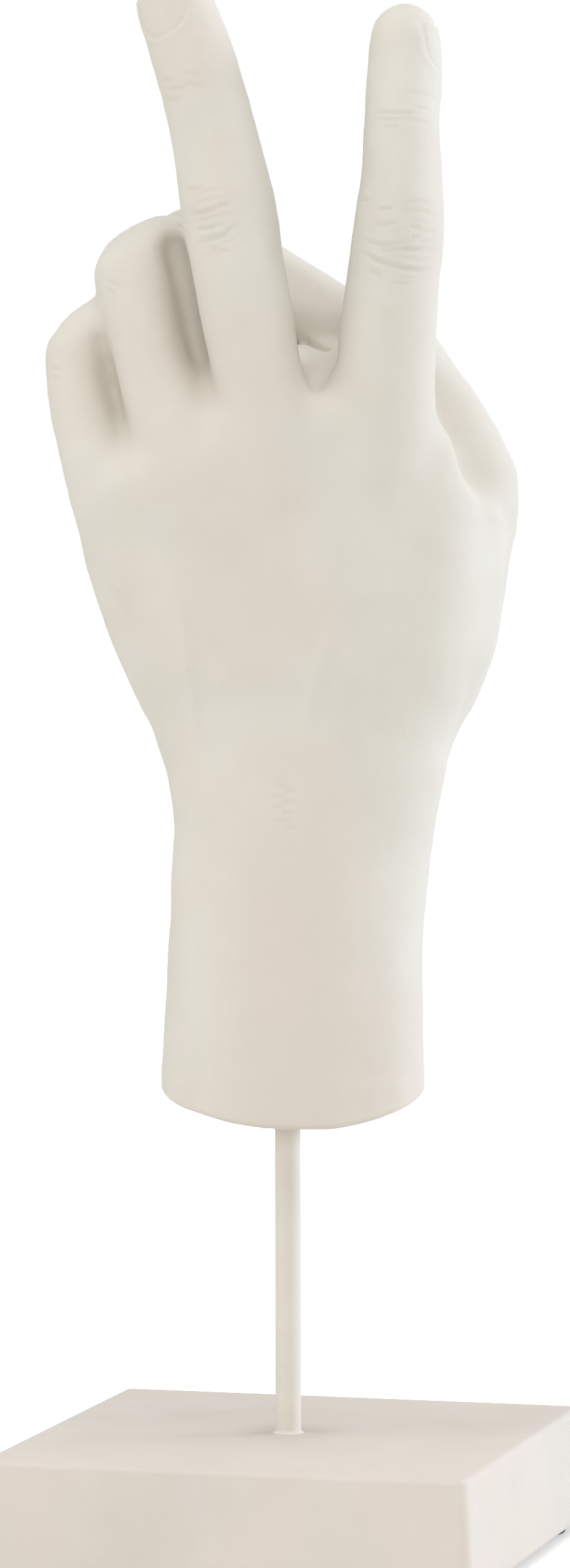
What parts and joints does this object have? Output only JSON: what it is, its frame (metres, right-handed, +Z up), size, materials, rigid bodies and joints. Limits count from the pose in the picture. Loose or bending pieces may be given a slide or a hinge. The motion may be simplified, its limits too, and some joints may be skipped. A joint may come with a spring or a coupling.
{
  "type": "hand sculpture",
  "caption": "Life-size white hand sculpture giving a V sign, cast in resin, turning on a thin round steel stem bolted into a square tapered block on soft feet.",
  "frame": {"origin": "on the ground below the stem's axis, at the middle of the block's footprint", "axes": "+Z up along the stem, -Y out of the block's front side, +X to the right seen from the front"},
  "size_m": [0.1186, 0.1186, 0.3743],
  "materials": {
    "hand_paint": "matte",
    "block_paint": "matte",
    "stem_paint": "matte",
    "zinc_steel": "satin",
    "foot_rubber": "matte"
  },
  "bodies": {
    "stand": {"block": "block_paint", "stem": "stem_paint", "washer": "zinc_steel", "lock_washer": "zinc_steel", "nut": "zinc_steel", "foot_front_left": "foot_rubber", "foot_front_right": "foot_rubber", "foot_back_left": "foot_rubber", "foot_back_right": "foot_rubber"},
    "hand": {"hand": "hand_paint", "wrist_socket": "zinc_steel"}
  },
  "joints": [
    {"name": "hand_turn", "type": "hinge", "parent": "stand", "child": "hand", "pos_m": [0, 0, 0.1017], "axis": [0, 0, 1], "continuous": true}
  ]
}
